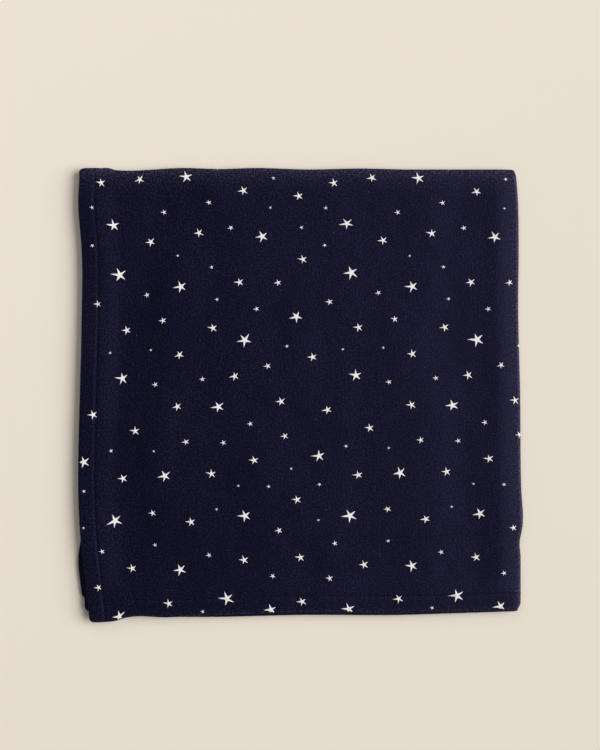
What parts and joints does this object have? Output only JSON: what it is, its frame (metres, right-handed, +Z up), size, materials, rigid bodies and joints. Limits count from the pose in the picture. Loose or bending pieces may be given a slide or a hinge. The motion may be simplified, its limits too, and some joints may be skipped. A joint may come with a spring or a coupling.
{
  "type": "folded swaddling blanket",
  "caption": "Hemmed square of printed cotton jersey for wrapping a baby, folded in quarters, whose upper half opens about its side fold.",
  "frame": {"origin": "bottom centre of the folded blanket's box", "axes": "+X towards the side fold, +Y towards the end folds, +Z up out of the surface it lies on"},
  "size_m": [0.445, 0.454, 0.0091],
  "materials": {
    "jersey": "soft brushed cotton jersey, dark navy",
    "hem_thread": "dark navy sewing thread",
    "label_tape": "blank white satin tape",
    "star_print": "matt off-white printing ink on the jersey"
  },
  "bodies": {
    "lower_pair": {"lower_outer_panel": "jersey", "lower_outer_end_hem": "jersey", "lower_outer_side_hem": "jersey", "lower_outer_end_hem_thread": "hem_thread", "lower_outer_side_hem_thread": "hem_thread", "lower_inner_panel": "jersey", "lower_inner_end_hem": "jersey", "lower_inner_side_hem": "jersey", "lower_inner_end_hem_thread": "hem_thread", "lower_inner_side_hem_thread": "hem_thread", "lower_end_fold": "jersey", "outer_side_fold": "jersey", "inner_side_fold": "jersey", "care_label": "label_tape"},
    "upper_pair": {"upper_inner_panel": "jersey", "upper_inner_end_hem": "jersey", "upper_inner_side_hem": "jersey", "upper_inner_end_hem_thread": "hem_thread", "upper_inner_side_hem_thread": "hem_thread", "upper_outer_panel": "jersey", "upper_outer_end_hem": "jersey", "upper_outer_side_hem": "jersey", "upper_outer_end_hem_thread": "hem_thread", "upper_outer_side_hem_thread": "hem_thread", "upper_end_fold": "jersey"}
  },
  "joints": [
    {"name": "side_fold", "type": "hinge", "parent": "lower_pair", "child": "upper_pair", "pos_m": [0.21795, 0, 0.00455], "axis": [0, 1, 0], "range_deg": [0, 179.9], "deforming": ["outer_side_fold", "inner_side_fold"]}
  ]
}
